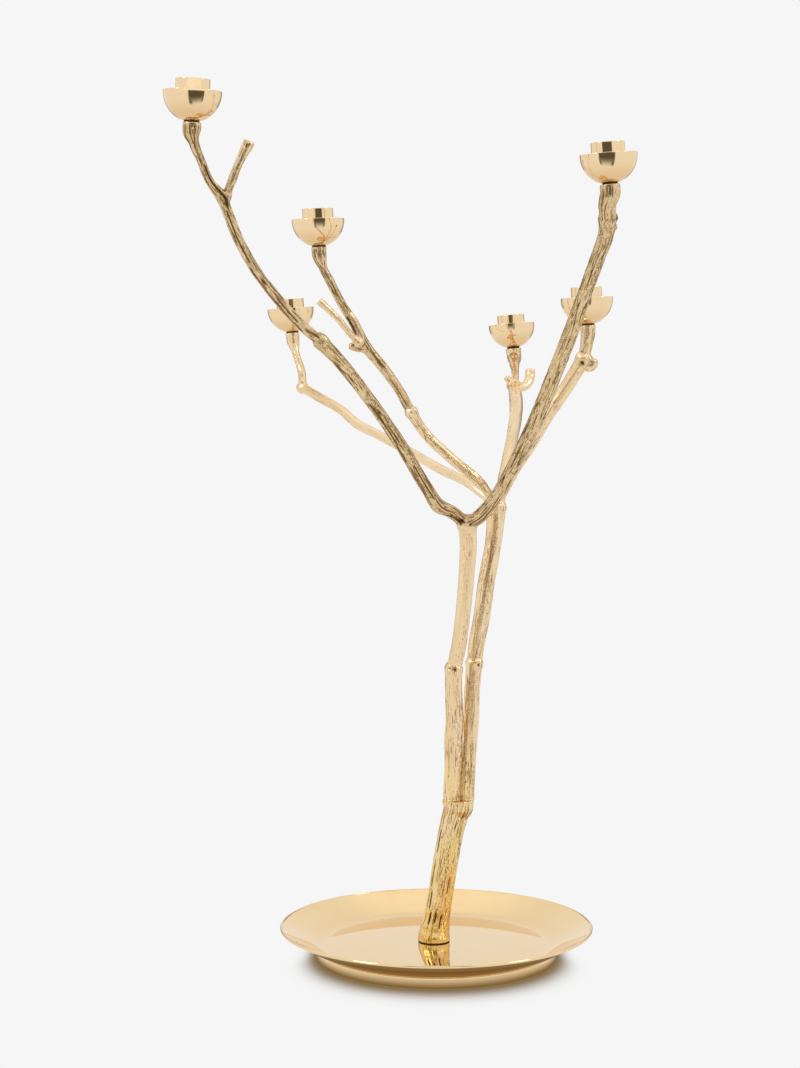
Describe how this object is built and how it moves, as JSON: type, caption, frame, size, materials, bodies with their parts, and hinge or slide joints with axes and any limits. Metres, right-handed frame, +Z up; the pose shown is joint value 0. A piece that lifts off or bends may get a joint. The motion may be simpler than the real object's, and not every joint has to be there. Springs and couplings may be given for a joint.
{
  "type": "candelabra",
  "caption": "Table candelabra: a cast tree of twig-like brass limbs on a footed round tray, with turned candle cups screwed onto the limb ends.",
  "frame": {"origin": "centre of the felt's underside, where the tray meets the table", "axes": "+Z up along the height, +X to the right as the tree is seen from the front, +Y to the back"},
  "size_m": [0.3712, 0.5909, 0.7566],
  "materials": {
    "polished_brass": "mirror polished",
    "cup_brass": "turned and polished",
    "bark_brass": "cast bark texture, polished on its ridges and darkened in its grooves",
    "ballast_iron": "rough cast, blackened",
    "base_felt": "dark felt",
    "fixing_steel": "zinc plated",
    "cup_washer": "matt, dark"
  },
  "bodies": {
    "tree": {"tray": "polished_brass", "foot_ring": "polished_brass", "ballast_plate": "ballast_iron", "felt_pad": "base_felt", "base_washer": "fixing_steel", "base_screw": "fixing_steel", "lower_trunk": "bark_brass", "front_stem_lower": "bark_brass", "front_stem_upper": "bark_brass", "rear_stem_lower": "bark_brass", "rear_stem_upper": "bark_brass", "front_left_bough": "bark_brass", "front_left_tip": "bark_brass", "front_left_twig": "bark_brass", "mid_left_bough": "bark_brass", "mid_left_tip": "bark_brass", "mid_left_twig": "bark_brass", "rear_left_bough": "bark_brass", "rear_left_tip": "bark_brass", "rear_right_bough": "bark_brass", "rear_right_tip": "bark_brass", "rear_right_stub": "bark_brass", "mid_right_bough": "bark_brass", "mid_right_tip": "bark_brass", "front_right_bough": "bark_brass", "front_right_tip": "bark_brass", "front_left_stud": "fixing_steel", "mid_left_stud": "fixing_steel", "rear_left_stud": "fixing_steel", "rear_right_stud": "fixing_steel", "mid_right_stud": "fixing_steel", "front_right_stud": "fixing_steel"},
    "front_left_washer_body": {"front_left_washer": "cup_washer"},
    "front_left_cup": {"front_left_bowl": "cup_brass", "front_left_socket": "cup_brass"},
    "mid_left_washer_body": {"mid_left_washer": "cup_washer"},
    "mid_left_cup": {"mid_left_bowl": "cup_brass", "mid_left_socket": "cup_brass"},
    "rear_left_washer_body": {"rear_left_washer": "cup_washer"},
    "rear_left_cup": {"rear_left_bowl": "cup_brass", "rear_left_socket": "cup_brass"},
    "rear_right_washer_body": {"rear_right_washer": "cup_washer"},
    "rear_right_cup": {"rear_right_bowl": "cup_brass", "rear_right_socket": "cup_brass"},
    "mid_right_washer_body": {"mid_right_washer": "cup_washer"},
    "mid_right_cup": {"mid_right_bowl": "cup_brass", "mid_right_socket": "cup_brass"},
    "front_right_washer_body": {"front_right_washer": "cup_washer"},
    "front_right_cup": {"front_right_bowl": "cup_brass", "front_right_socket": "cup_brass"}
  },
  "joints": [
    {"name": "front_left_lift", "type": "slide", "parent": "tree", "child": "front_left_washer_body", "axis": [0.0436, 0, 0.999], "range_m": [0, 0.006]},
    {"name": "front_left_unscrew", "type": "hinge", "parent": "front_left_washer_body", "child": "front_left_cup", "pos_m": [-0.193, -0.235, 0.747], "axis": [0.0436, 0, 0.999], "range_deg": [0, 2160]},
    {"name": "mid_left_lift", "type": "slide", "parent": "tree", "child": "mid_left_washer_body", "axis": [-0.0349, 0, 0.9994], "range_m": [0, 0.006]},
    {"name": "mid_left_unscrew", "type": "hinge", "parent": "mid_left_washer_body", "child": "mid_left_cup", "pos_m": [-0.104, -0.004, 0.657], "axis": [-0.0349, 0, 0.9994], "range_deg": [0, 2160]},
    {"name": "rear_left_lift", "type": "slide", "parent": "tree", "child": "rear_left_washer_body", "axis": [-0.0698, 0, 0.9976], "range_m": [0, 0.006]},
    {"name": "rear_left_unscrew", "type": "hinge", "parent": "rear_left_washer_body", "child": "rear_left_cup", "pos_m": [-0.141, 0.285, 0.58], "axis": [-0.0698, 0, 0.9976], "range_deg": [0, 2160]},
    {"name": "rear_right_lift", "type": "slide", "parent": "tree", "child": "rear_right_washer_body", "axis": [-0.087, 0.0521, 0.9948], "range_m": [0, 0.006]},
    {"name": "rear_right_unscrew", "type": "hinge", "parent": "rear_right_washer_body", "child": "rear_right_cup", "pos_m": [0.079, 0.31, 0.564], "axis": [-0.087, 0.0521, 0.9948], "range_deg": [0, 2160]},
    {"name": "mid_right_lift", "type": "slide", "parent": "tree", "child": "mid_right_washer_body", "axis": [-0.0436, 0, 0.999], "range_m": [0, 0.006]},
    {"name": "mid_right_unscrew", "type": "hinge", "parent": "mid_right_washer_body", "child": "mid_right_cup", "pos_m": [0.131, 0.002, 0.589], "axis": [-0.0436, 0, 0.999], "range_deg": [0, 2160]},
    {"name": "front_right_lift", "type": "slide", "parent": "tree", "child": "front_right_washer_body", "axis": [-0.0698, 0, 0.9976], "range_m": [0, 0.006]},
    {"name": "front_right_unscrew", "type": "hinge", "parent": "front_right_washer_body", "child": "front_right_cup", "pos_m": [0.132, -0.2, 0.701], "axis": [-0.0698, 0, 0.9976], "range_deg": [0, 2160]}
  ],
  "couplings": [
    {"joint": "front_left_lift", "follows": "front_left_unscrew", "m_per_rad": 0.00015915},
    {"joint": "mid_left_lift", "follows": "mid_left_unscrew", "m_per_rad": 0.00015915},
    {"joint": "rear_left_lift", "follows": "rear_left_unscrew", "m_per_rad": 0.00015915},
    {"joint": "rear_right_lift", "follows": "rear_right_unscrew", "m_per_rad": 0.00015915},
    {"joint": "mid_right_lift", "follows": "mid_right_unscrew", "m_per_rad": 0.00015915},
    {"joint": "front_right_lift", "follows": "front_right_unscrew", "m_per_rad": 0.00015915}
  ]
}
